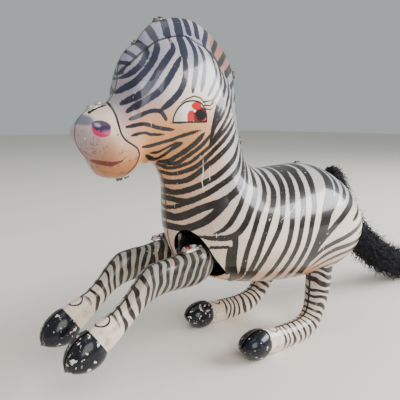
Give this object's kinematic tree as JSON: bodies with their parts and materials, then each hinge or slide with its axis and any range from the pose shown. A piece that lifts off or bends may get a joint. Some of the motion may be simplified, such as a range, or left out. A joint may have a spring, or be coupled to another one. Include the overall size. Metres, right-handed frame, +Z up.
{
  "type": "wind up tin toy",
  "caption": "Clockwork tin zebra that hops: striped pressed-tin body, rocking front and rear legs, side winding key and a fur tail.",
  "frame": {"origin": "bottom centre of the bounding box of the whole toy, key and tail included, on the ground it stands on", "axes": "+Z up, the animal faces -Y, its left side is +X, and the winding key is on its right side, towards -X"},
  "size_m": [0.075, 0.244, 0.1375],
  "materials": {
    "litho_tin": "gloss",
    "bright_tin": "satin",
    "steel": "satin",
    "brass": "satin",
    "spring_steel": "blued",
    "fur": "mohair"
  },
  "bodies": {
    "body": {"left_body_shell": "litho_tin", "right_body_shell": "litho_tin", "left_motor_plate": "bright_tin", "right_motor_plate": "bright_tin", "upper_rear_pillar": "steel", "lower_rear_pillar": "steel", "upper_front_pillar": "steel", "lower_front_pillar": "steel", "front_bracket": "bright_tin", "mainspring": "spring_steel", "tail_collar": "bright_tin", "tail_fur": "fur"},
    "front_legs": {"front_axle": "steel", "front_link_lever": "steel", "front_left_leg_outer": "litho_tin", "front_left_leg_inner": "litho_tin", "front_right_leg_outer": "litho_tin", "front_right_leg_inner": "litho_tin"},
    "rear_legs": {"rear_axle": "steel", "rear_link_lever": "steel", "rear_crank_lever": "steel", "rear_left_leg_outer": "litho_tin", "rear_left_leg_inner": "litho_tin", "rear_right_leg_outer": "litho_tin", "rear_right_leg_inner": "litho_tin"},
    "drive_link": {"drive_link": "steel"},
    "winding_key": {"winding_arbor": "steel", "ratchet_wheel": "steel", "winding_key": "bright_tin"},
    "great_wheel": {"great_wheel": "brass", "click": "steel"},
    "second_arbor": {"second_arbor": "steel", "second_pinion": "steel", "second_wheel": "brass"},
    "third_arbor": {"third_arbor": "steel", "third_pinion": "steel", "third_wheel": "brass"},
    "crank_arbor": {"crank_arbor": "steel", "crank_pinion": "steel", "crank_disc": "steel"}
  },
  "joints": [
    {"name": "rear_legs_kick", "type": "hinge", "parent": "body", "child": "rear_legs", "pos_m": [0.00852, 0.00486, 0.034], "axis": [1, 0, 0], "range_deg": [-9.5, 9.5]},
    {"name": "front_legs_swing", "type": "hinge", "parent": "body", "child": "front_legs", "pos_m": [0.00852, -0.06564, 0.0454], "axis": [1, 0, 0], "range_deg": [-11.9, 11.9]},
    {"name": "drive_link_slide", "type": "slide", "parent": "body", "child": "drive_link", "axis": [0, 1, 0], "range_m": [-0.0017, 0.0017]},
    {"name": "winding_key_turn", "type": "hinge", "parent": "body", "child": "winding_key", "pos_m": [0.00852, 0.00086, 0.057], "axis": [1, 0, 0], "continuous": true},
    {"name": "great_wheel_turn", "type": "hinge", "parent": "body", "child": "great_wheel", "pos_m": [0.00852, 0.00086, 0.057], "axis": [1, 0, 0], "continuous": true},
    {"name": "second_arbor_turn", "type": "hinge", "parent": "body", "child": "second_arbor", "pos_m": [0.00852, -0.01324, 0.06269], "axis": [1, 0, 0], "continuous": true},
    {"name": "third_arbor_turn", "type": "hinge", "parent": "body", "child": "third_arbor", "pos_m": [0.00852, -0.01363, 0.0515], "axis": [1, 0, 0], "continuous": true},
    {"name": "crank_turn", "type": "hinge", "parent": "body", "child": "crank_arbor", "pos_m": [0.00852, -0.01704, 0.04383], "axis": [1, 0, 0], "continuous": true}
  ],
  "couplings": [
    {"joint": "front_legs_swing", "follows": "rear_legs_kick", "ratio": 1.25},
    {"joint": "drive_link_slide", "follows": "rear_legs_kick", "m_per_rad": -0.01},
    {"joint": "second_arbor_turn", "follows": "great_wheel_turn", "ratio": -3.75},
    {"joint": "third_arbor_turn", "follows": "great_wheel_turn", "ratio": 11.25},
    {"joint": "crank_turn", "follows": "great_wheel_turn", "ratio": -28.125}
  ]
}
